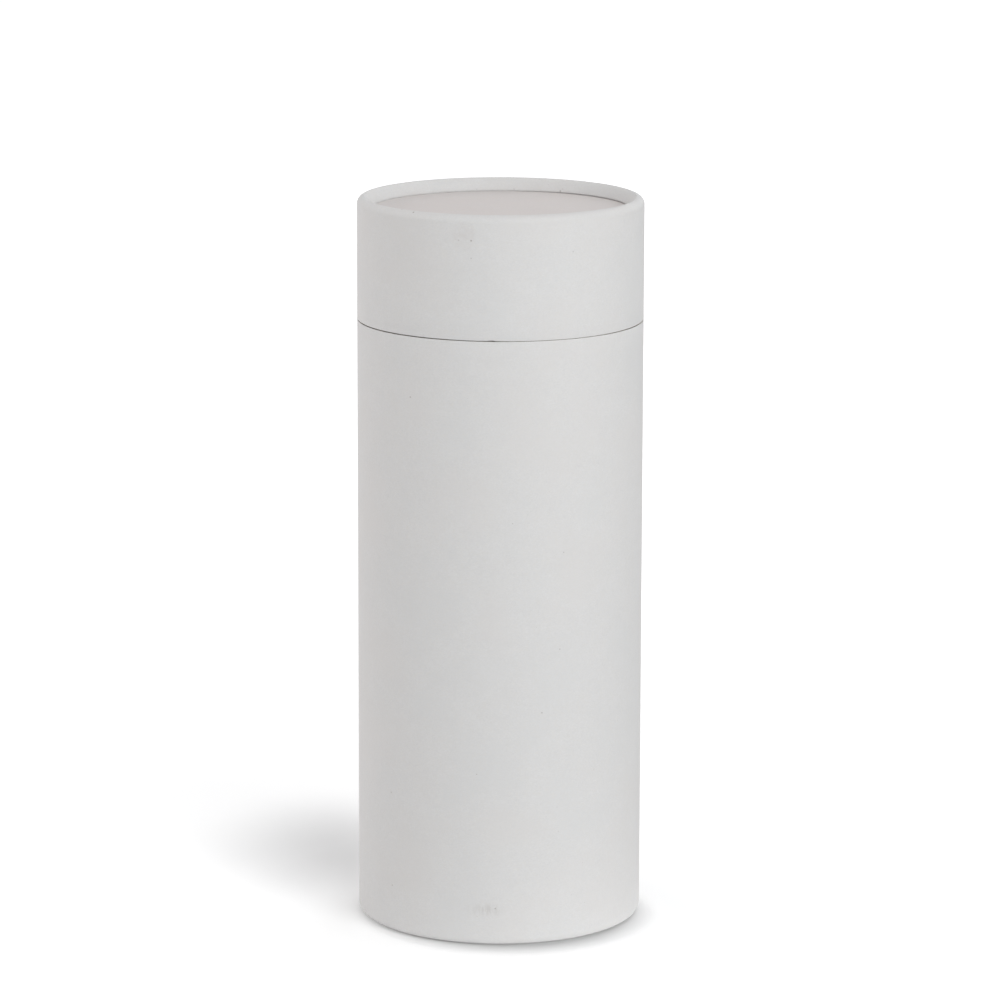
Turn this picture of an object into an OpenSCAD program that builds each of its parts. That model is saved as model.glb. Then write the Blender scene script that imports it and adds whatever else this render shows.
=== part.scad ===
// A round gift tube in white paper over wound board. The lid lifts off a neck that stands up
// inside the body, and the lid and the body are flush on the outside, with a fine gap between them.
// The far ends of both are rolled inwards over a flat disc. Sizes are in millimetres, +Z is up,
// and the origin is at the middle of the base, on the surface that the tube stands on.

/* [Tube] */
// Outside diameter of the lid and the body
tube_d = 100; // [70:1:200]
// Height of the body, up to its cut edge
body_h = 213; // [100:1:320]
// Height of the lid, from its cut edge to the top of its rolled rim
lid_h = 42.7; // [25:0.1:80]
// Gap at the seam between the lid and the body
seam_gap = 0.3; // [0:0.1:1]

/* [Board] */
// Thickness of the lid's wound board
lid_board_t = 1.5; // [1:0.1:2.2]
// Thickness of the inner tube's wound board
inner_board_t = 1.2; // [0.8:0.1:2.5]
// Thickness of the discs that close the lid and the base
disc_t = 2; // [1:0.1:3]

/* [Paper] */
// Thickness of the outer wrap
wrap_t = 0.2; // [0.1:0.05:0.3]
// Thickness of the lining and facing papers
lining_t = 0.15; // [0.1:0.05:0.3]

/* [Rolled ends] */
// Depth of each disc's face inside its rolled end
roll_depth = 4.7; // [4:0.1:8]
// Inside radius of the bend where the wall turns over into a roll
bend_r = 0.9; // [0.6:0.1:1]
// Hollow left inside a roll
roll_hollow = 0.75; // [0.4:0.05:1]
// Width of the flat along the crest of the lid's roll
crest_flat = 0.3; // [0.1:0.05:0.3]
// Width of the flat ring that the base stands on
base_flat = 0.8; // [0.5:0.05:0.8]

/* [Fits] */
// Running clearance between the neck and the lid's lining, on each side
neck_clear = 0.3; // [0.2:0.05:0.6]
// Gap between the top of the neck and the ceiling of the closed lid
neck_top_gap = 1.2; // [0.5:0.1:4]

/* [Hidden] */
$fn = 120;

// Colours of the white wrap, of the linings and of the bare board
wrap_white = [0.84, 0.835, 0.835];
lining_white = [0.88, 0.87, 0.85];
board_grey = [0.66, 0.62, 0.56];

// More than the model's own rounding error, so that a cut runs clear through a face
cut_over = 1;

tube_r = tube_d / 2;

// The lid's board with its lining and the running clearance is as thick as the body's board,
// so that the inner tube touches the body's board all round and clears the lid's lining.
body_board_t = lid_board_t + lining_t + neck_clear;
neck_r = tube_r - wrap_t - body_board_t;
lid_bore_r = tube_r - wrap_t - lid_board_t;

// A closing disc with its paper facing outside and its paper lining inside
closure_t = lining_t + disc_t + lining_t;

// Heights, with the lid's own heights counted from its cut edge
floor_z = roll_depth + closure_t;
lid_z = body_h + seam_gap;
ceiling_h = lid_h - roll_depth - closure_t;
neck_top_z = lid_z + ceiling_h - neck_top_gap;

// Width of a rolled end: two thicknesses of wall and the hollow between them
function roll_w(board_t) = 2 * (wrap_t + board_t) + roll_hollow;

// Takes a square corner off an outline, leaving an arc of radius r.
// The corner is at the origin, and the outline lies towards -X and -Y.
module corner_cut(r) {
    difference() {
        translate([-r, -r])
            square([r + cut_over, r + cut_over]);
        translate([-r, -r])
            circle(r);
    }
}

// Half section of a rolled end, filled in, with its crest at height h and everything taken in
// by inset. Its outer corner is rounded by the bend and the wall round it, and its inner corner
// has a tighter rounding that uses up what the flat leaves of the roll's width.
module roll_fill(h, board_t, flat, inset) {
    w = roll_w(board_t);
    shoulder_r = wrap_t + board_t + bend_r;
    curl_r = w - shoulder_r - flat;
    difference() {
        translate([tube_r - w + inset, 0])
            square([w - 2 * inset, h - inset]);
        translate([tube_r - inset, h - inset])
            corner_cut(shoulder_r - inset);
        translate([tube_r - w + inset, h - inset])
            mirror([1, 0])
                corner_cut(curl_r - inset);
    }
}

// The space inside the wall, up to the end of the rolled-in board
module under_roll(h, wall_in_r) {
    translate([0, -cut_over])
        square([wall_in_r, h - roll_depth + cut_over]);
}

// A wound board tube of height h, cut square at z = 0 and rolled inwards at the top
module rolled_board(h, board_t, flat) {
    wall_in_r = tube_r - wrap_t - board_t;
    hollow_top = h - wrap_t - board_t - roll_hollow / 2;
    rotate_extrude()
        difference() {
            roll_fill(h, board_t, flat, wrap_t);
            under_roll(h, wall_in_r);
            translate([wall_in_r - roll_hollow, 0])
                square([roll_hollow, hollow_top]);
            translate([wall_in_r - roll_hollow / 2, hollow_top])
                circle(roll_hollow / 2);
        }
}

// The wrap paper on such a tube, turned over the roll with it and ending where the board ends
module rolled_wrap(h, board_t, flat) {
    rotate_extrude()
        difference() {
            roll_fill(h, board_t, flat, 0);
            translate([0, -cut_over])
                square([tube_r - wrap_t, h - roll_depth + cut_over]);
            roll_fill(h, board_t, flat, wrap_t);
        }
}

// A straight tube between two radii and two heights
module sleeve(outer_r, inner_r, z0, z1) {
    translate([0, 0, z0])
        difference() {
            cylinder(r = outer_r, h = z1 - z0);
            translate([0, 0, -cut_over])
                cylinder(r = inner_r, h = z1 - z0 + 2 * cut_over);
        }
}

// A flat disc or a flat round paper, from height z up
module flat_disc(r, z, t) {
    translate([0, 0, z])
        cylinder(r = r, h = t);
}

// Puts a lid piece, made with its cut edge at z = 0, on the closed tube
module on_body() {
    translate([0, 0, lid_z])
        children();
}

// Turns a piece that is made with its roll at the top over, so that the roll becomes the base
module roll_down() {
    translate([0, 0, body_h])
        mirror([0, 0, 1])
            children();
}

module lid_wall() {
    color(board_grey)
        on_body()
            rolled_board(lid_h, lid_board_t, crest_flat);
}

module lid_wrap() {
    color(wrap_white)
        on_body()
            rolled_wrap(lid_h, lid_board_t, crest_flat);
}

module lid_lining() {
    color(lining_white)
        on_body()
            sleeve(lid_bore_r, lid_bore_r - lining_t, 0, ceiling_h);
}

module lid_disc_lining() {
    color(lining_white)
        on_body()
            flat_disc(lid_bore_r, ceiling_h, lining_t);
}

module lid_disc() {
    color(board_grey)
        on_body()
            flat_disc(lid_bore_r, ceiling_h + lining_t, disc_t);
}

module lid_disc_facing() {
    color(wrap_white)
        on_body()
            flat_disc(lid_bore_r, ceiling_h + lining_t + disc_t, lining_t);
}

module body_wall() {
    color(board_grey)
        roll_down()
            rolled_board(body_h, body_board_t, base_flat);
}

module body_wrap() {
    color(wrap_white)
        roll_down()
            rolled_wrap(body_h, body_board_t, base_flat);
}

module base_disc_facing() {
    color(wrap_white)
        flat_disc(neck_r, roll_depth, lining_t);
}

module base_disc() {
    color(board_grey)
        flat_disc(neck_r, roll_depth + lining_t, disc_t);
}

module base_disc_lining() {
    color(lining_white)
        flat_disc(neck_r, roll_depth + lining_t + disc_t, lining_t);
}

// The inner tube stands on the base's lining and runs up past the seam as the neck
module inner_tube() {
    color(board_grey)
        sleeve(neck_r - lining_t, neck_r - lining_t - inner_board_t, floor_z, neck_top_z);
}

module inner_tube_sleeve() {
    color(lining_white)
        sleeve(neck_r, neck_r - lining_t, floor_z, neck_top_z);
}

module inner_tube_lining() {
    lined_r = neck_r - lining_t - inner_board_t;
    color(lining_white)
        sleeve(lined_r, lined_r - lining_t, floor_z, neck_top_z);
}

lid_wall();
lid_wrap();
lid_lining();
lid_disc();
lid_disc_facing();
lid_disc_lining();
body_wall();
body_wrap();
base_disc();
base_disc_facing();
base_disc_lining();
inner_tube();
inner_tube_sleeve();
inner_tube_lining();
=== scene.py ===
"""A cylindrical gift tube box of paper-wrapped board, with a lift-off lid over an inner neck.

Every piece is a surface of revolution worked out with numpy: an outline in the plane of
radius and height, carried round the tube's axis, with small folds and seams added to it."""
import math
import typing

import bpy
import numpy as np
from mathutils import Matrix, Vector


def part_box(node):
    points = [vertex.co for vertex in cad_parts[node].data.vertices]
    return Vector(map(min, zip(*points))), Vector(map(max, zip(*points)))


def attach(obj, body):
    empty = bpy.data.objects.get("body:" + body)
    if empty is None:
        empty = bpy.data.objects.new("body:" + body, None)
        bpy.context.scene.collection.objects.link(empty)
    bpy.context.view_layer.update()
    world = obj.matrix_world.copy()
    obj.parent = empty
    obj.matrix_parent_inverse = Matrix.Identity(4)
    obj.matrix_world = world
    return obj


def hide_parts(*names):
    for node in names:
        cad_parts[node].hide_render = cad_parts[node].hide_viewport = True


bl_info = {
    "name": "Gift tube box",
    "version": (1, 0, 0),
    "blender": (4, 5, 0),
    "location": "View3D > Sidebar > Gift tube",
    "description": "Builds a paper-wrapped gift tube with rolled rims and a lift-off lid",
    "category": "Add Mesh",
}

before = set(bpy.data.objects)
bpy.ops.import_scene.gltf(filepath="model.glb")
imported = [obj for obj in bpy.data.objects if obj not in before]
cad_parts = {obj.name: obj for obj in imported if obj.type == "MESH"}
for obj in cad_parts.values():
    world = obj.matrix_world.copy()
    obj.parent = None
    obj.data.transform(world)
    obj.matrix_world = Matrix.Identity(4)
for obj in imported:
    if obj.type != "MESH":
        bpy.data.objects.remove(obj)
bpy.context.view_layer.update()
MM = 0.001
FULL_TURN = 2 * math.pi
QUARTER = math.pi / 2

# Metres: the gap left between glued sheets, the thickness of a lining, the width of the base's
# rounded shoulder, and the distance of the lamps and the height that they aim at.
CLEAR = 0.01 * MM
LINING_T = 0.15 * MM
BASE_SHOULDER = 3.05 * MM
LAMP_DISTANCE = 2.2
LAMP_AIM = 0.13

# Millimetres, as the places of marks are: the outer wall's distance from the axis.
WALL_RADIUS = 50.0


class TubeSizes(bpy.types.PropertyGroup):
    """Sizes of the paper and board, in metres."""

    wrap_t: bpy.props.FloatProperty(
        name="Wrap thickness", description="Thickness of the outer paper",
        default=0.2 * MM, unit="LENGTH")
    lid_board_t: bpy.props.FloatProperty(
        name="Lid board", description="Thickness of the lid's board wall",
        default=1.5 * MM, unit="LENGTH")
    body_board_t: bpy.props.FloatProperty(
        name="Body board", description="Thickness of the body's board wall",
        default=1.95 * MM, unit="LENGTH")
    roll_gap: bpy.props.FloatProperty(
        name="Roll gap", description="Hollow left inside a rolled edge",
        default=0.75 * MM, unit="LENGTH")
    bend_r: bpy.props.FloatProperty(
        name="Bend radius", description="Inner radius of the board where a rolled edge turns over",
        default=0.9 * MM, unit="LENGTH")
    curl_depth: bpy.props.FloatProperty(
        name="Curl depth",
        description="Depth over which a rolled edge curls down on its inner side",
        default=4.15 * MM, unit="LENGTH")
    curl_power: bpy.props.FloatProperty(
        name="Curl flatness",
        description="1 makes the curl a quarter ellipse, and 2 a straight slope",
        default=1.45)
    lid_bulge: bpy.props.FloatProperty(
        name="Lid bulge",
        description="How far the lid's roll swells inward past its straight width",
        default=0.8 * MM, unit="LENGTH")
    tuck: bpy.props.FloatProperty(
        name="Tuck", description="Length of wrap that is tucked under the roll",
        default=1.5 * MM, unit="LENGTH")
    under_w: bpy.props.FloatProperty(
        name="Under-curl", description="Width over which the roll turns back above the end disc",
        default=0.5 * MM, unit="LENGTH")
    base_flat: bpy.props.FloatProperty(
        name="Base flat", description="Width of the flat ring that the tube stands on",
        default=0.8 * MM, unit="LENGTH")
    pleat_depth: bpy.props.FloatProperty(
        name="Pleat depth", description="Depth of the fine pleats where the paper turns inward",
        default=0.04 * MM, unit="LENGTH")
    lap_width: bpy.props.FloatProperty(
        name="Lap width", description="Width over which the wrap overlaps itself at the back",
        default=9 * MM, unit="LENGTH")
    lap_step: bpy.props.FloatProperty(
        name="Lap step", description="Height of the step at the wrap's overlap",
        default=0.13 * MM, unit="LENGTH")


class TubeColours(bpy.types.PropertyGroup):
    """Colours of the papers and the board."""

    wrap: bpy.props.FloatVectorProperty(
        name="Wrap paper", description="Colour of the outer paper",
        default=(0.655, 0.652, 0.651), subtype="COLOR", size=3, min=0, max=1)
    facing: bpy.props.FloatVectorProperty(
        name="Disc paper", description="Colour of the paper on the end discs",
        default=(0.623, 0.589, 0.579), subtype="COLOR", size=3, min=0, max=1)
    lining: bpy.props.FloatVectorProperty(
        name="Lining paper", description="Colour of the inner papers",
        default=(0.74, 0.725, 0.70), subtype="COLOR", size=3, min=0, max=1)
    board: bpy.props.FloatVectorProperty(
        name="Board", description="Colour of the grey board at its cut edges",
        default=(0.36, 0.32, 0.27), subtype="COLOR", size=3, min=0, max=1)


class TubeStage(bpy.types.PropertyGroup):
    """Camera, floor and lights."""

    distance: bpy.props.FloatProperty(
        name="Camera distance", description="Distance of the camera from the tube's axis",
        default=1700 * MM, unit="LENGTH")
    height: bpy.props.FloatProperty(
        name="Camera height", description="Height of the camera above the floor",
        default=495.32 * MM, unit="LENGTH")
    pitch: bpy.props.FloatProperty(
        name="Camera pitch", description="Angle by which the camera looks down",
        default=math.radians(11.544), unit="ROTATION")
    roll: bpy.props.FloatProperty(
        name="Camera roll", description="Angle by which the camera leans to one side",
        default=0.00234, unit="ROTATION")
    lens: bpy.props.FloatProperty(
        name="Lens", description="Focal length for a sensor 36 mm wide, in millimetres",
        default=177.6)
    key_power: bpy.props.FloatProperty(
        name="Key light", description="Power of the soft light low at the front right, in watts",
        default=12.4)
    front_power: bpy.props.FloatProperty(
        name="Front light", description="Power of the soft light near the camera, in watts",
        default=10.8)
    high_power: bpy.props.FloatProperty(
        name="High light", description="Power of the soft light overhead, in watts", default=12.0)
    rim_power: bpy.props.FloatProperty(
        name="Rim light", description="Power of the soft light at the back right, in watts",
        default=11.1)
    left_power: bpy.props.FloatProperty(
        name="Left light", description="Power of the large light low at the left, in watts",
        default=10.8)
    back_power: bpy.props.FloatProperty(
        name="Back light", description="Power of the large light low at the back left, in watts",
        default=12.0)
    base_power: bpy.props.FloatProperty(
        name="Base light", description="Power of the soft light below the floor, in watts",
        default=24.0)
    room_light: bpy.props.FloatProperty(
        name="Room light", description="Strength of the even light from all round", default=0.3)


class Corner(typing.NamedTuple):
    """A right-angled corner of an outline: its radius and height, how far its bend reaches along
    the radius and along the height, the longest part of the straight side after it, and the power
    of the bend, from 1 for a quarter ellipse to 2 for a straight line."""

    r: float
    z: float
    reach_r: float = 0.0
    reach_z: float = 0.0
    longest: float = 1.0
    power: float = 1.0


def rounded_outline(corners, closed=True, arc_step=0.16 * MM):
    """Points (radius, height) along an outline whose sides meet in quarter ellipses.

    With u and v the directions to a corner's two neighbours, a and b the reaches along them and p
    its power, the bend is centre - b v cos(t)^p - a u sin(t)^p for t from 0 to a right angle,
    about the centre corner + a u + b v."""
    places = np.array([corner[:2] for corner in corners], float)
    last = len(corners) - 1
    points, steps = [], []
    for i, (_, _, wide, high, longest, power) in enumerate(corners):
        here = places[i]
        if not (wide > 0 and high > 0) or (not closed and i in (0, last)):
            points.append(here[None])
            steps.append([longest])
            continue
        before, after = places[i - 1] - here, places[(i + 1) % len(corners)] - here
        level = abs(before[0]) > abs(before[1])
        u = np.sign(before) * ((wide, 0) if level else (0, high))
        v = np.sign(after) * ((0, high) if level else (wide, 0))
        count = max(3, int(math.ceil(QUARTER * max(wide, high) / arc_step)))
        t = np.linspace(0, QUARTER, count + 1)[:, None]
        points.append(here + u + v - v * np.cos(t).clip(0) ** power - u * np.sin(t) ** power)
        steps.append([1.0] * count + [longest])
    points, steps = np.concatenate(points), np.concatenate(steps)
    ends = np.roll(points, -1, axis=0)
    if not closed:
        points, ends, steps, final = points[:-1], ends[:-1], steps[:-1], points[-1:]
    counts = np.ceil(np.linalg.norm(ends - points, axis=1) / steps).astype(int).clip(1)
    parts = [start + (end - start) * (np.arange(count) / count)[:, None]
             for start, end, count in zip(points, ends, counts)]
    return np.concatenate(parts if closed else [*parts, final])


def revolve(name, outline, angles, shape=None, lean=0.0, closed=True):
    """A mesh made by carrying an outline round the axis: x = r cos a, y = r sin a.

    The grid has one column for each angle a and one row for each outline point. shape
    takes the arrays of angle, radius and height and gives what is added to radius and
    height. lean turns each row by lean * height, so that columns follow a helix. An
    outline that starts and ends on the axis has one point at each pole."""
    poles = outline[0, 0] == 0 and outline[-1, 0] == 0
    rows = outline[1:-1] if poles else outline
    a = np.asarray(angles)[:, None]
    r, z = rows[None, :, 0], rows[None, :, 1]
    if shape is not None:
        more_r, more_z = shape(a, r, z)
        r, z = r + more_r, z + more_z
    r, z, turned = np.broadcast_arrays(r, z, a + lean * z)
    points = np.stack([r * np.cos(turned), r * np.sin(turned), z], axis=-1)
    columns, count = points.shape[:2]
    grid = np.arange(columns * count).reshape(columns, count)
    beside = np.roll(grid, -1, axis=0)
    if closed and not poles:
        quads = [grid, beside, np.roll(beside, -1, axis=1), np.roll(grid, -1, axis=1)]
    else:
        quads = [grid[:, :-1], beside[:, :-1], beside[:, 1:], grid[:, 1:]]
    points = points.reshape(-1, 3)
    faces = np.stack(quads, axis=-1).reshape(-1, 4).tolist()
    if poles:
        low, high = np.full(columns, len(points)), np.full(columns, len(points) + 1)
        points = np.concatenate([points, [[0, 0, outline[0, 1]], [0, 0, outline[-1, 1]]]])
        faces += np.stack([beside[:, 0], grid[:, 0], low], axis=1).tolist()
        faces += np.stack([grid[:, -1], beside[:, -1], high], axis=1).tolist()
    mesh = bpy.data.meshes.new(name)
    mesh.from_pydata(points.tolist(), [], faces)
    mesh.polygons.foreach_set("use_smooth", np.ones(len(mesh.polygons), bool))
    mesh.update()
    piece = bpy.data.objects.new(name, mesh)
    bpy.context.scene.collection.objects.link(piece)
    return piece


def even_angles(count):
    """Angles spread evenly over one turn."""
    return np.arange(count) * FULL_TURN / count


LAP_ANGLE = math.radians(64)


def seam_angles(count, edge):
    """Even angles, with three close ones where the wrap's free edge steps down."""
    near = LAP_ANGLE + np.array([-0.5, 0, 0.5]) * edge
    return np.sort(np.concatenate([even_angles(count), near]))


def smooth(low, high, x):
    """0 below low, 1 above high, and a smooth cubic step between."""
    t = np.clip((x - low) / (high - low), 0, 1)
    return t * t * (3 - 2 * t)


def waves(a, seed, orders, size):
    """A smooth wave round the tube: size times a weighted mean of cosines of whole orders."""
    rng = np.random.default_rng(seed)
    orders = np.asarray(orders)
    phase = rng.uniform(0, FULL_TURN, len(orders))
    weight = rng.uniform(0.5, 1, len(orders))
    value = (np.cos(a[..., None] * orders + phase) * weight).sum(-1)
    return size * value / weight.sum()


def creases(a, seed, count, width):
    """Fine pleats, from 0 to 1: the hyperbolic tangent of the sum of count narrow bells of random
    place and depth, each about width radians wide."""
    rng = np.random.default_rng(seed)
    place = rng.uniform(0, FULL_TURN, count)
    depth = rng.uniform(0.15, 1, count) ** 2
    spread = width * rng.uniform(0.6, 1.8, count)
    away = (a[..., None] - place + math.pi) % FULL_TURN - math.pi
    return np.tanh((depth * np.exp(-(away / spread) ** 2)).sum(-1))


def lap(a, radius, sizes):
    """Height of the wrap's overlap: a slow ramp up, a level, then a step down at its free edge."""
    away = (a - LAP_ANGLE + math.pi) % FULL_TURN - math.pi
    width = sizes.lap_width / radius
    ramp = 2.2 * MM / radius
    edge = 0.03 * MM / radius
    return sizes.lap_step * smooth(-width - ramp, -width, away) * smooth(edge, -edge, away)


def add(tree, kind, **values):
    """A shader node with the given input values. A value that is a socket is linked instead, i0, i1
    and so on are inputs by number, and set_ before a name sets a property of the node."""
    node = tree.nodes.new(kind)
    for key, value in values.items():
        if key.startswith("set_"):
            setattr(node, key[4:], value)
            continue
        index = int(key[1:]) if key[0] == "i" and key[1:].isdigit() else key.replace("_", " ")
        socket = node.inputs[index]
        if isinstance(value, bpy.types.NodeSocket):
            tree.links.new(value, socket)
        else:
            socket.default_value = value
    return node


def maths(tree, how, *values):
    """The output of a Math node for the given operation and inputs."""
    inputs = {f"i{i}": value for i, value in enumerate(values)}
    return add(tree, "ShaderNodeMath", set_operation=how, **inputs).outputs[0]


def tinted(tree, colour, tint, share):
    """Colour mixed towards tint by share."""
    return add(tree, "ShaderNodeMix", set_data_type="RGBA", i0=share, i6=colour, i7=tint).outputs[2]


def ramp(tree, value, low, high, start=0.0, end=1.0):
    """start where value is low, end where it is high, and straight between them."""
    return add(tree, "ShaderNodeMapRange", Value=value, From_Min=low, From_Max=high, To_Min=start,
               To_Max=end).outputs[0]


def noise(tree, place, scale, detail=3.0, roughness=0.5, distortion=0.0):
    """Noise from 0 to 1 on Object coordinates, with scale features to the metre."""
    return add(tree, "ShaderNodeTexNoise", Vector=place, Scale=scale, Detail=detail,
               Roughness=roughness, Distortion=distortion).outputs["Fac"]


def spots(tree, place, spacing, size, share):
    """Sparse round specks: 1 inside a speck, and 0 elsewhere. share of the cells hold one."""
    cells = add(tree, "ShaderNodeTexVoronoi", Vector=place, Scale=1 / spacing)
    near = ramp(tree, cells.outputs["Distance"], size / spacing, 0.45 * size / spacing)
    chosen = add(tree, "ShaderNodeSeparateColor", Color=cells.outputs["Color"]).outputs[0]
    return maths(tree, "MULTIPLY", near, maths(tree, "LESS_THAN", chosen, share))


def vector(tree, how, *values):
    """The output vector of a Vector Math node for the given operation and inputs."""
    inputs = {f"i{i}": value for i, value in enumerate(values)}
    return add(tree, "ShaderNodeVectorMath", set_operation=how, **inputs).outputs["Vector"]


def length(tree, value):
    """The length of a vector."""
    return add(tree, "ShaderNodeVectorMath", set_operation="LENGTH", i0=value).outputs["Value"]


def bell(tree, place, centre, size, sharp):
    """1 inside a soft-edged ball or egg of that size about centre, 0 outside, where sharp (0 to 1)
    is the share of it that is even."""
    scaled = vector(tree, "DIVIDE", vector(tree, "SUBTRACT", place, centre), size)
    return ramp(tree, length(tree, scaled), 1.0, sharp)


def shades(colour, *parts):
    """The colour with alpha 1, and its red, green and blue multiplied by one factor or by three."""
    return (*[min(1.0, c * part) for c, part in zip(colour, parts * 3)], 1)


def on_wall(azimuth, height, radius=WALL_RADIUS):
    """The point at an angle to the right of the front, in degrees, at a height and a distance from
    the axis, both in mm."""
    turn = math.radians(azimuth)
    return radius * MM * math.sin(turn), -radius * MM * math.cos(turn), height * MM


def marks(tree, where, place, made):
    """The colour made, with the rubbed marks and the larger specks of the outer paper on it."""
    tall = add(tree, "ShaderNodeMapping", Vector=place, Scale=(1, 1, 0.22)).outputs[0]
    streaks = ramp(tree, noise(tree, tall, 700, 3, 0.65), 0.36, 0.62)
    blots = ramp(tree, noise(tree, place, 620, 4, 0.6, 0.6), 0.36, 0.60)
    for azimuth, height, size, hollow, tint, strength in RUBS:
        centre = on_wall(azimuth, height)
        spot = bell(tree, where, centre, size, 0.1)
        if hollow:
            middle = bell(tree, where, centre, [hollow * side for side in size], 0.2)
            spot = maths(tree, "SUBTRACT", spot, maths(tree, "MULTIPLY", middle, 0.6))
        rubbed = maths(tree, "MULTIPLY", spot, blots if hollow else streaks)
        made = tinted(tree, made, (*tint, 1), maths(tree, "MULTIPLY", rubbed, strength))
    for azimuth, height, size, strength, *from_axis in SPECKS:
        speck = bell(tree, where, on_wall(azimuth, height, *from_axis), [size * MM] * 3, 0.4)
        made = tinted(tree, made, (0.13, 0.09, 0.07, 1), maths(tree, "MULTIPLY", speck, strength))
    return made


def paper(name, colour, marked=False, seed=0.0):
    """Uncoated matt paper: cloudy fibres, fine tooth and a few dark specks, and on the outer
    sheet also the rubbed marks and the larger specks that its front carries."""
    material = bpy.data.materials.new(name)
    material.use_nodes = True
    tree = material.node_tree
    shader = tree.nodes["Principled BSDF"]
    where = add(tree, "ShaderNodeTexCoord").outputs["Object"]
    place = add(tree, "ShaderNodeMapping", Vector=where, Location=(seed, seed, seed)).outputs[0]
    grain_place = add(tree, "ShaderNodeMapping", Vector=place, Scale=(1, 1, 1.5)).outputs[0]
    fine = noise(tree, grain_place, 1500, 2, 0.6)
    fibre = noise(tree, grain_place, 560, 4, 0.65, 0.9)
    cloud = noise(tree, grain_place, 120, 4, 0.6, 0.4)
    broad = noise(tree, place, 38, 3, 0.5)
    mottle = maths(tree, "MULTIPLY_ADD", fine, 0.45, maths(tree, "MULTIPLY", fibre, 0.35))
    mottle = maths(tree, "MULTIPLY_ADD", cloud, 0.20, mottle)
    made = tinted(tree, shades(colour, 0.95), shades(colour, 1.05), ramp(tree, mottle, 0.34, 0.66))
    # Broad warm and cool patches, and fine yellowish fibres.
    warm, cool = shades(colour, 1.0, 0.985, 0.975), shades(colour, 0.975, 0.985, 0.99)
    made = tinted(tree, made, warm, ramp(tree, broad, 0.50, 0.66, 0.0, 0.45))
    made = tinted(tree, made, cool, ramp(tree, broad, 0.50, 0.34, 0.0, 0.45))
    yellowish = ramp(tree, noise(tree, grain_place, 900, 2, 0.5), 0.45, 0.7, 0.0, 0.35)
    made = tinted(tree, made, shades(colour, 1.01, 0.99, 0.95), yellowish)
    # Dark specks in the pulp.
    specks = maths(tree, "ADD", spots(tree, place, 9 * MM, 0.20 * MM, 0.35),
                   spots(tree, grain_place, 4.1 * MM, 0.12 * MM, 0.3))
    made = tinted(tree, made, (0.16, 0.12, 0.09, 1), maths(tree, "MULTIPLY", specks, 0.7))
    if marked:
        made = marks(tree, where, place, made)
    tree.links.new(made, shader.inputs["Base Color"])
    tooth = noise(tree, grain_place, 2600, 3, 0.6)
    height = maths(tree, "ADD", tooth, maths(tree, "MULTIPLY", fibre, 2.2))
    height = maths(tree, "MULTIPLY_ADD", cloud, 3.0, height)
    bump = add(tree, "ShaderNodeBump", Strength=0.5, Distance=0.03 * MM, Height=height).outputs[0]
    tree.links.new(bump, shader.inputs["Normal"])
    tree.links.new(ramp(tree, mottle, 0.34, 0.66, 0.70, 0.84), shader.inputs["Roughness"])
    shader.inputs["Specular IOR Level"].default_value = 0.28
    return material


def board(name, colour):
    """Grey board at a cut edge: thin plies by distance from the axis, fibres and flecks."""
    material = bpy.data.materials.new(name)
    material.use_nodes = True
    tree = material.node_tree
    shader = tree.nodes["Principled BSDF"]
    place = add(tree, "ShaderNodeTexCoord").outputs["Object"]
    radius = length(tree, vector(tree, "MULTIPLY", place, (1, 1, 0)))
    wobble = maths(tree, "MULTIPLY", noise(tree, place, 300, 3), 0.12 * MM)
    plies = maths(tree, "MULTIPLY", maths(tree, "ADD", radius, wobble), FULL_TURN / (0.38 * MM))
    ply = maths(tree, "MULTIPLY_ADD", maths(tree, "SINE", plies), 0.5, 0.5)
    fibres = noise(tree, place, 1800, 5, 0.7)
    made = tinted(tree, shades(colour, 0.7), shades(colour, 1.25), fibres)
    made = tinted(tree, made, (*colour, 1), maths(tree, "MULTIPLY", ply, 0.5))
    flecks = spots(tree, place, 1.3 * MM, 0.12 * MM, 0.4)
    made = tinted(tree, made, shades(colour, 0.35), maths(tree, "MULTIPLY", flecks, 0.6))
    tree.links.new(made, shader.inputs["Base Color"])
    height = maths(tree, "ADD", fibres, maths(tree, "MULTIPLY", ply, 0.5))
    bump = add(tree, "ShaderNodeBump", Strength=0.5, Distance=0.06 * MM, Height=height).outputs[0]
    tree.links.new(bump, shader.inputs["Normal"])
    shader.inputs["Roughness"].default_value = 0.92
    shader.inputs["Specular IOR Level"].default_value = 0.15
    return material


def material_named(name, maker, *values, **more):
    """The material of that name, made the first time that it is asked for."""
    return bpy.data.materials.get(name) or maker(name, *values, **more)


def settle(piece, body, nodes, material):
    """Gives a finished piece its material and body, and hides the nodes that it stands for."""
    piece.data.materials.append(material)
    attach(piece, body)
    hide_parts(*nodes)


# Rubbed marks: degrees to the right of the front, height in mm, half size, pale middle's share,
# tint and strength.
RUBS = (
    (-14.5, 249.0, (4.6 * MM, 8 * MM, 5.6 * MM), 0.7, (0.42, 0.32, 0.28), 0.26),
    (-5.5, 13.0, (7.6 * MM, 8 * MM, 3.0 * MM), 0.0, (0.38, 0.35, 0.33), 0.33))

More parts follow.
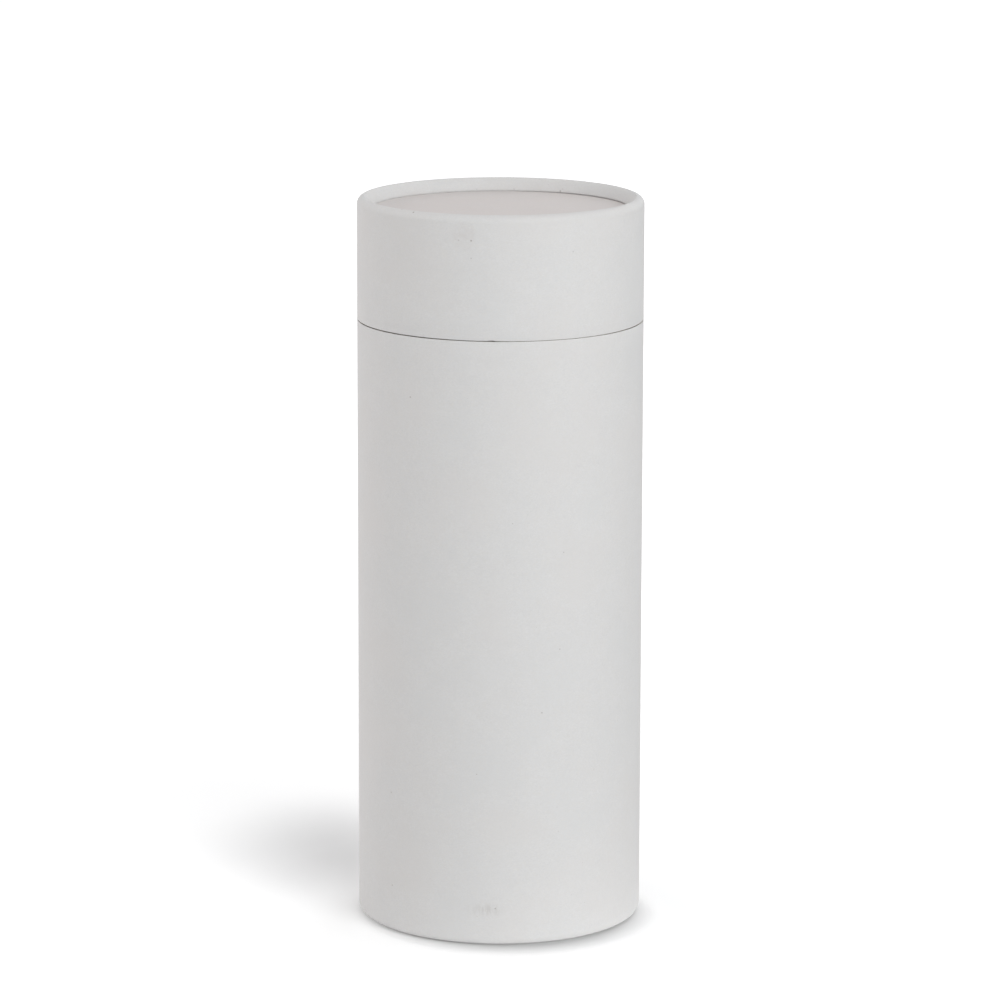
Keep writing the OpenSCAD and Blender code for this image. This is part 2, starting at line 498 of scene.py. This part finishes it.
# Specks: degrees to the right of the front, height in mm, radius in mm and strength. Those on the
# rim also have their distance from the axis in mm.
SPECKS = (
    (-38.0, 192.0, 0.36, 0.40), (26.0, 139.0, 0.30, 0.35), (24.5, 105.0, 0.30, 0.35),
    (17.0, 83.0, 0.34, 0.40), (5.0, 150.0, 0.28, 0.30), (-48.5, 17.0, 0.36, 0.35),
    (-49.0, 50.5, 0.40, 0.25), (-11.5, 247.5, 0.36, 0.55), (-11.5, 241.5, 0.28, 0.35),
    (-1.5, 13.5, 0.36, 0.40), (-16.5, 247.5, 0.34, 0.25), (29.5, 243.0, 0.30, 0.30),
    (-44.5, 255.8, 0.38, 0.30, 48.0), (-37.5, 255.6, 0.44, 0.60, 48.6),
    (152.0, 252.0, 0.46, 0.40, 45.1), (151.0, 252.9, 0.40, 0.12, 45.2),
    (174.0, 252.0, 0.45, 0.14, 45.1), (-169.0, 252.0, 0.40, 0.10, 45.1))


def radius_of(node):
    """Outer radius of a node, from its box."""
    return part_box(node)[1].x


def roll_width(sizes, roll):
    """Width of a rolled edge: wrap and board twice, the hollow between, and its bulge."""
    return 2 * (sizes.wrap_t + roll.board_t) + sizes.roll_gap + roll.bulge


def roll_reaches(sizes, roll):
    """Reaches (radius, height) of a roll's three bends: shoulder, curl and turn under."""
    shoulder = sizes.wrap_t + roll.board_t + sizes.bend_r
    curl_w = roll_width(sizes, roll) - roll.flat - shoulder
    under_h = abs(roll.end - roll.inner_end) - sizes.curl_depth - 4 * CLEAR
    return (shoulder, shoulder), (curl_w, sizes.curl_depth), (sizes.under_w, under_h)


def less(reach, depth):
    """A bend's reaches for a sheet that lies depth inside it."""
    return max(reach[0] - depth, 0), max(reach[1] - depth, 0)


def wrap_corners(sizes, roll):
    """Corners of the wrap: up the wall, over the shoulder, round the curl and tucked under."""
    outer, cut, end = roll.outer, roll.cut, roll.end
    up = 1 if end > cut else -1
    t, edge, power = sizes.wrap_t, 0.05 * MM, sizes.curl_power
    inner = outer - roll_width(sizes, roll)
    shoulder, curl, under = roll_reaches(sizes, roll)
    floor = roll.inner_end + up * CLEAR
    corners = [
        Corner(outer, cut, edge, edge, 6 * MM),
        Corner(outer, end, *shoulder),
        Corner(inner, end, *curl, power=power),
        Corner(inner, floor, *under),
        Corner(inner + sizes.tuck, floor),
        Corner(inner + sizes.tuck, floor + up * t),
        Corner(inner + t, floor + up * t, *less(under, t)),
        Corner(inner + t, end - up * t, *less(curl, t), power=power),
        Corner(outer - t, end - up * t, *less(shoulder, t), 40 * MM),
        Corner(outer - t, cut, edge, edge)]
    return corners if up > 0 else mirrored(corners)


def mirrored(corners):
    """The same corners the other way round. Each straight step stays with its own side."""
    back = corners[::-1]
    steps = [corner.longest for corner in back[1:] + back[:1]]
    return [corner._replace(longest=step) for corner, step in zip(back, steps)]


def board_corners(sizes, roll):
    """Corners of the board under the wrap: the wall, the roll and the hollow inside the roll."""
    outer, cut, end = roll.outer, roll.cut, roll.end
    up = 1 if end > cut else -1
    near, far, edge = sizes.wrap_t + CLEAR, sizes.wrap_t + roll.board_t, 0.08 * MM
    inner = outer - roll_width(sizes, roll)
    shoulder, curl, under = roll_reaches(sizes, roll)
    floor = roll.inner_end + up * (near + CLEAR)
    corners = [
        Corner(outer - near, cut, edge, edge, 40 * MM),
        Corner(outer - near, end - up * near, *less(shoulder, near)),
        Corner(inner + near, end - up * near, *less(curl, near), power=sizes.curl_power),
        Corner(inner + near, floor, *less(under, near)),
        Corner(inner + far, floor),
        Corner(inner + far, end - up * far),
        Corner(outer - far, end - up * far, sizes.roll_gap, sizes.roll_gap, 40 * MM),
        Corner(outer - far, cut, edge, edge)]
    return corners if up > 0 else mirrored(corners)


def seam_gap_change(a):
    """How much wider than drawn the seam is at angle a, in metres: wide at the left, close at the
    front right and wide again at the far right, with one small nick. It is a sum of cosines, each
    with its order, its size in mm and the angle of its crest in degrees, and of a narrow bell."""
    from_nick = (a - math.radians(266.4) + math.pi) % FULL_TURN - math.pi
    nick = 0.25 * np.exp(-(from_nick / 0.022) ** 2)
    parts = ((1, 0.057, 100), (2, 0.068, 16), (3, 0.047, 112), (4, 0.02, 87))
    slow = sum(size * np.cos(order * (a - math.radians(crest))) for order, size, crest in parts)
    return MM * (0.02 + slow + nick)


def crevice(a):
    """How open the gap beside the lid's disc is at angle a: 0 at the left, 1 at the back right."""
    return smooth(math.radians(95), math.radians(40), a % FULL_TURN)


def on_roll(sizes, roll, r, z):
    """How far a point is on the roll's inner half, from 0 to 1, and the part of that low on it."""
    width = roll_width(sizes, roll)
    depth = abs(roll.end - z)
    inward = smooth(roll.outer - 0.4 * width, roll.outer - 0.75 * width, r)
    inner = smooth(8 * MM, 5 * MM, depth) * inward
    return inner, inner * smooth(3.4 * MM, 4.4 * MM, depth)


def roll_change(sizes, roll, a, r, z):
    """The gentle waves of a rolled edge, which its board and its wrap share."""
    inner, low = on_roll(sizes, roll, r, z)
    wide = waves(a, roll.seed + 1, (5, 7, 9, 13, 17), 0.05 * MM)
    up = 1 if roll.end > roll.cut else -1
    return inner * wide, -up * (inner - low) * (0.03 * MM + 0.35 * wide)


def rolled_shape(sizes, roll):
    """What is added to a rolled wrap: the lap at the back, fine pleats where the paper turns
    inward, the roll's waves, a slightly uneven cut edge and a gentle unevenness of the wall."""
    up = 1 if roll.end > roll.cut else -1
    width = roll_width(sizes, roll)

    def shape(a, r, z):
        add_r, add_z = roll_change(sizes, roll, a, r, z)
        inner, low = on_roll(sizes, roll, r, z)
        outward = smooth(roll.outer - 0.6 * width, roll.outer - 0.15 * width, r)
        pleats = creases(a, roll.seed, 120, 0.010) * sizes.pleat_depth
        depth = up * (roll.end - z)
        wall = smooth(3 * MM, 14 * MM, depth) * waves(a, roll.seed + 3, (2, 3, 5, 8), 0.03 * MM)
        near_cut = smooth(roll.cut + up * 4 * MM, roll.cut, z)
        ragged = waves(a, roll.seed + 2, (31, 47, 73, 101), 0.02 * MM)
        gap, gape = (seam_gap_change(a), crevice(a)) if up > 0 else (0, 0.6)
        tight = 0.6 * (1 - gape) * np.clip(r - (roll.outer - width), 0, sizes.under_w)
        add_r = add_r + lap(a, roll.outer, sizes) * outward + wall + inner * pleats - low * tight
        add_z = add_z + near_cut * (ragged + gap) - up * (inner - low) * pleats * 0.15
        return add_r, add_z + up * low * 0.09 * MM * gape

    return shape


class Roll(typing.NamedTuple):
    """A tube with a rolled end: the body it belongs to, its outer radius, the heights of its cut
    edge, its rolled end and the end disc, its board, the flat on its crest and what its roll
    swells inward."""

    body: str
    outer: float
    cut: float
    end: float
    inner_end: float
    board_t: float
    flat: float
    bulge: float
    seed: int
    columns: int


def rolls(sizes):
    """The lid, rolled at its top, and the body, rolled at its base, from their papers' boxes."""
    lid_low, lid_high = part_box("lid_wrap")
    low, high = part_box("body_wrap")
    return (Roll("lid", lid_high.x, lid_low.z, lid_high.z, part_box("lid_disc_facing")[1].z,
                 sizes.lid_board_t, 0.0, sizes.lid_bulge, 11, 720),
            Roll("body", high.x, high.z, low.z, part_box("base_disc_facing")[0].z,
                 sizes.body_board_t, sizes.base_flat, 0.0, 23, 560))


class Maker:
    """What the operators share."""

    bl_options = {"REGISTER"}

    def values(self, context):
        """The sizes and the colours."""
        scene = context.scene
        return scene.tube_sizes, scene.tube_colours


class TUBE_OT_add_wraps(Maker, bpy.types.Operator):
    """Adds the outer papers of the lid and the body, turned over at their rolled ends"""

    bl_idname = "tube.add_wraps"
    bl_label = "Add outer papers"

    def execute(self, context):
        sizes, colours = self.values(context)
        made = material_named("outer_sheet", paper, tuple(colours.wrap), marked=True)
        for roll in rolls(sizes):
            outline = rounded_outline(wrap_corners(sizes, roll), arc_step=0.21 * MM)
            angles = seam_angles(roll.columns, 0.3 * MM / roll.outer)
            piece = revolve(f"{roll.body}_outer_paper", outline, angles, rolled_shape(sizes, roll))
            settle(piece, roll.body, [f"{roll.body}_wrap"], made)
        return {"FINISHED"}


class TUBE_OT_add_walls(Maker, bpy.types.Operator):
    """Adds the board walls of the lid and the body, which show at their cut edges"""

    bl_idname = "tube.add_walls"
    bl_label = "Add board walls"

    def execute(self, context):
        sizes, colours = self.values(context)
        made = material_named("grey_board", board, tuple(colours.board))
        for roll in rolls(sizes):
            outline = rounded_outline(board_corners(sizes, roll), arc_step=0.4 * MM)

            def shape(a, r, z, roll=roll):
                """The roll's waves, and at the cut edge fine waves and the seam's change of width."""
                add_r, add_z = roll_change(sizes, roll, a, r, z)
                at_cut = smooth(1.5 * MM, 0, abs(z - roll.cut))
                gap = seam_gap_change(a) if roll.end > roll.cut else 0
                return add_r, add_z + at_cut * (waves(a, 5, (19, 43, 67, 83), 0.02 * MM) + gap)

            piece = revolve(f"{roll.body}_board_wall", outline, even_angles(480), shape)
            settle(piece, roll.body, [f"{roll.body}_wall"], made)
        return {"FINISHED"}


class TUBE_OT_add_discs(Maker, bpy.types.Operator):
    """Adds the end discs of board with the papers on both of their sides"""

    bl_idname = "tube.add_discs"
    bl_label = "Add end discs"

    def execute(self, context):
        sizes, colours = self.values(context)
        facing = material_named("end_sheet", paper, tuple(colours.facing), seed=0.37)
        lining = material_named("inner_sheet", paper, tuple(colours.lining), seed=0.71)
        grey = material_named("grey_board", board, tuple(colours.board))
        for body, start in (("lid", "lid"), ("body", "base")):
            for part, slot, made in (("disc", "board", grey), ("disc_facing", "wrap_paper", facing),
                                     ("disc_lining", "lining_paper", lining)):
                node = f"{start}_{part}"
                low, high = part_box(node)
                edge = min(0.05 * MM, (high.z - low.z) / 3)
                corners = [Corner(0, low.z, longest=1.2 * MM), Corner(high.x, low.z, edge, edge),
                           Corner(high.x, high.z, edge, edge, 1.2 * MM), Corner(0, high.z)]
                outline = rounded_outline(corners, closed=False)

                def shape(a, r, z, edge_r=high.x):
                    """A sunken middle, 0.04 mm deep, with wide waves between it and the edge."""
                    away = smooth(edge_r, 0.6 * edge_r, r)
                    wide = waves(a, 8, (2, 3, 4), 0.03 * MM) * smooth(0, 0.5 * edge_r, r)
                    return 0 * a * r, -away * (0.04 * MM) + wide * away

                piece = revolve(f"{start}_end_{part}", outline, even_angles(240), shape)
                settle(piece, body, [node], made)
        return {"FINISHED"}


class TUBE_OT_add_tubes(Maker, bpy.types.Operator):
    """Adds the inner tube with its sleeve and lining, and the lining of the lid"""

    bl_idname = "tube.add_tubes"
    bl_label = "Add inner tubes"

    def execute(self, context):
        sizes, colours = self.values(context)
        lining = material_named("inner_sheet", paper, tuple(colours.lining), seed=0.71)
        grey = material_named("grey_board", board, tuple(colours.board))
        board_inside, sleeve_inside = radius_of("inner_tube_lining"), radius_of("inner_tube")
        for name, node, body, slot, made, inside, step in (
                ("neck_board_tube", "inner_tube", "body", "board", grey, board_inside, 0),
                ("neck_sleeve_paper", "inner_tube_sleeve", "body", "lining_paper", lining,
                 sleeve_inside, 0),
                ("neck_lining_paper", "inner_tube_lining", "body", "lining_paper", lining,
                 board_inside - LINING_T, 0.07 * MM),
                ("lid_lining_paper", "lid_lining", "lid", "lining_paper", lining,
                 radius_of("lid_lining") - LINING_T, 0.07 * MM)):
            low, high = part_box(node)
            edge = min(0.04 * MM, (high.x - inside) / 3)
            corners = [Corner(high.x, low.z, edge, edge, 8 * MM),
                       Corner(high.x, high.z, edge, edge),
                       Corner(inside, high.z, edge, edge, 8 * MM),
                       Corner(inside, low.z, edge, edge)]
            outline = rounded_outline(corners)

            def shape(a, r, z, step=step, middle=(high.x + inside) / 2):
                """Two overlaps of the wound paper on the inner side, each step high and 9 mm wide."""
                away = (a % (FULL_TURN / 2)) * middle
                return -step * (r < middle) * smooth(9 * MM, 0, away), 0 * a * z

            lean = math.tan(math.radians(28)) / high.x if step else 0.0
            piece = revolve(name, outline, even_angles(360), shape, lean)
            settle(piece, body, [node], made)
        return {"FINISHED"}


class TUBE_OT_add_stage(Maker, bpy.types.Operator):
    """Adds the floor, the soft lights and the camera"""

    bl_idname = "tube.add_stage"
    bl_label = "Add floor, lights and camera"

    def execute(self, context):
        stage = context.scene.tube_stage
        self.floor()
        self.world(context.scene, stage.room_light)
        for light in (("key_light", stage.key_power, (1.0, 0.99, 0.98), 0.8, 40, 22),
                      ("front_light", stage.front_power, (0.96, 0.99, 1.0), 1.0, 20, 20),
                      ("high_light", stage.high_power, (0.98, 0.99, 1.0), 0.8, 30, 75),
                      ("rim_light", stage.rim_power, (0.96, 0.97, 1.0), 1.2, 150, 30),
                      ("left_light", stage.left_power, (1.0, 0.95, 0.92), 1.4, -90, 15),
                      ("back_light", stage.back_power, (1.0, 0.98, 0.99), 1.4, -120, 15),
                      ("base_light", stage.base_power, (1.0, 1.0, 1.0), 1.0, 20, -70)):
            self.lamp(*light)
        self.camera(context.scene, stage)
        context.scene.view_settings.view_transform = "Standard"
        return {"FINISHED"}

    def floor(self):
        """A wide pale sheet with a hole under the tube, inside the ring that it stands on, so that
        light reaches the base."""
        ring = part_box("body_wrap")[1].x - BASE_SHOULDER
        radii = np.concatenate([ring - np.array([2.4, 0]) * MM, np.geomspace(0.05, 6.0, 40)])
        outline = np.stack([radii[::-1], np.full(len(radii), -0.02 * MM)], axis=1)
        floor = revolve("floor", outline, even_angles(128), closed=False)
        floor.data.materials.append(self.floor_paper(ring))

    def floor_paper(self, ring):
        """Pale matt paper. The camera sees it shaded close to the tube, by the lamps and by painted
        shade, with a painted shadow at its back left, and brighter away from it, white where the
        photograph is white, and sees through it from below.
        Close to the tube it glows for all but the camera, a painted bounce light on the right side of
        the base."""
        material = bpy.data.materials.new("floor_paper")
        material.use_nodes = True
        tree = material.node_tree
        shader = tree.nodes["Principled BSDF"]
        shader.inputs["Base Color"].default_value = (0.9, 0.9, 0.9, 1)
        shader.inputs["Roughness"].default_value = 1.0
        shader.inputs["Specular IOR Level"].default_value = 0.0
        seen = add(tree, "ShaderNodeLightPath").outputs["Is Camera Ray"]
        place = add(tree, "ShaderNodeTexCoord").outputs["Object"]
        radius = length(tree, place)
        # What the camera sees: a glow that grows in three steps outward, so that the floor stays
        # shaded close to the tube (painted shade), less a painted shadow at the back left.
        bright = ramp(tree, radius, 0.06, 0.10, 0.19, 0.277)
        for low, high, more in ((0.2, 0.5, 0.2), (1.2, 2.4, 0.25)):
            bright = maths(tree, "ADD", bright, ramp(tree, radius, low, high, 0.0, more))
        painted_shadow = bell(tree, place, (-66 * MM, 81 * MM, 0), (54 * MM, 84 * MM, 1), 0.0)
        soft = add(tree, "ShaderNodeMapRange", set_interpolation_type="SMOOTHSTEP", Value=painted_shadow)
        bright = maths(tree, "MULTIPLY_ADD", soft.outputs[0], -0.20, bright)
        # Painted bounce light: close to the tube at its right, the floor glows for all rays but the
        # camera's and lights the tube's base there.
        side = add(tree, "ShaderNodeSeparateXYZ", Vector=place).outputs["X"]
        painted_bounce = maths(tree, "MULTIPLY", ramp(tree, radius, 0.06, 0.12, 1.0, 0.0),
                       ramp(tree, side, -0.07, 0.06, 0.0, 0.34))
        level = add(tree, "ShaderNodeMix", i0=seen, i2=painted_bounce, i3=bright).outputs[0]
        glow = add(tree, "ShaderNodeEmission", Color=(1, 1, 1, 1), Strength=level)
        lit = add(tree, "ShaderNodeAddShader", i0=shader.outputs[0], i1=glow.outputs[0])
        # Painted contact shade: a dark line round where the tube stands, a little wider at the front,
        # which only the camera sees.
        reach = length(tree, vector(tree, "ADD", place, (-3 * MM, 8 * MM, 0)))
        painted_contact_shade = maths(tree, "POWER", ramp(tree, reach, ring + 8 * MM, ring - 5 * MM), 1.3)
        painted_contact_shade = maths(tree, "MULTIPLY", maths(tree, "MULTIPLY", painted_contact_shade, 0.5), seen)
        painted_shade_black = add(tree, "ShaderNodeEmission", Strength=0.0)
        shaded = add(tree, "ShaderNodeMixShader", i0=painted_contact_shade, i1=lit.outputs[0],
                     i2=painted_shade_black.outputs[0])
        below = add(tree, "ShaderNodeNewGeometry").outputs["Backfacing"]
        clear = add(tree, "ShaderNodeBsdfTransparent")
        mixed = add(tree, "ShaderNodeMixShader", i0=maths(tree, "MULTIPLY", below, seen),
                    i1=shaded.outputs[0], i2=clear.outputs[0])
        tree.links.new(mixed.outputs[0], tree.nodes["Material Output"].inputs["Surface"])
        return material

    def world(self, scene, strength):
        """Even room light, which the camera and reflections see as white."""
        world = bpy.data.worlds.new("studio")
        scene.world = world
        world.use_nodes = True
        tree = world.node_tree
        path = add(tree, "ShaderNodeLightPath")
        seen = maths(tree, "MAXIMUM", path.outputs["Is Camera Ray"], path.outputs["Is Glossy Ray"])
        seen = maths(tree, "MAXIMUM", seen, path.outputs["Is Transmission Ray"])
        background = tree.nodes["Background"]
        background.inputs["Color"].default_value = (1, 1, 1, 1)
        tree.links.new(ramp(tree, seen, 0.0, 1.0, strength, 1.0), background.inputs["Strength"])

    def lamp(self, name, power, colour, size, azimuth, elevation):
        """A square soft light aimed at the tube's middle. Its place is an angle to the right of the
        camera and one above the level, in degrees."""
        data = bpy.data.lights.new(name, "AREA")
        data.shape, data.size, data.energy, data.color = "SQUARE", size, power, colour
        lamp = bpy.data.objects.new(name, data)
        bpy.context.scene.collection.objects.link(lamp)
        turn, tilt = math.radians(azimuth), math.radians(elevation)
        away = (math.sin(turn) * math.cos(tilt), -math.cos(turn) * math.cos(tilt), math.sin(tilt))
        lamp.location = [LAMP_DISTANCE * x for x in away]
        lamp.location.z += LAMP_AIM
        lamp.rotation_euler = (math.pi / 2 - tilt, 0, turn)

    def camera(self, scene, stage):
        """The photograph's view: in front of the tube, a little above, looking down at it."""
        data = bpy.data.cameras.new("camera")
        data.lens, data.sensor_width = stage.lens, 36
        camera = bpy.data.objects.new("camera", data)
        scene.collection.objects.link(camera)
        camera.location = (0, -stage.distance, stage.height)
        look_down = Matrix.Rotation(math.pi / 2 - stage.pitch, 3, "X")
        camera.rotation_euler = (look_down @ Matrix.Rotation(stage.roll, 3, "Z")).to_euler()
        scene.camera = camera


class TUBE_PT_panel(bpy.types.Panel):
    """Lists the steps and the values that they use"""

    bl_idname = "TUBE_PT_panel"
    bl_label = "Gift tube"
    bl_space_type = "VIEW_3D"
    bl_region_type = "UI"
    bl_category = "Gift tube"

    def draw(self, context):
        for step in STEPS:
            self.layout.operator(step.bl_idname)
        for name in GROUPS:
            group = getattr(context.scene, name)
            box = self.layout.box()
            for key in group.__annotations__:
                box.prop(group, key)


GROUPS = {"tube_sizes": TubeSizes, "tube_colours": TubeColours, "tube_stage": TubeStage}
STEPS = (TUBE_OT_add_wraps, TUBE_OT_add_walls, TUBE_OT_add_discs, TUBE_OT_add_tubes,
         TUBE_OT_add_stage)


def register():
    """Registers the values, the steps and the panel."""
    for key, group in GROUPS.items():
        bpy.utils.register_class(group)
        setattr(bpy.types.Scene, key, bpy.props.PointerProperty(type=group))
    for step in (*STEPS, TUBE_PT_panel):
        bpy.utils.register_class(step)


def unregister():
    """Takes away what register added."""
    for step in (TUBE_PT_panel, *reversed(STEPS)):
        bpy.utils.unregister_class(step)
    for key, group in GROUPS.items():
        delattr(bpy.types.Scene, key)
        bpy.utils.unregister_class(group)


def main():
    register()
    bpy.ops.tube.add_wraps()
    bpy.ops.tube.add_walls()
    bpy.ops.tube.add_discs()
    bpy.ops.tube.add_tubes()
    bpy.ops.tube.add_stage()


if __name__ == "__main__":
    main()
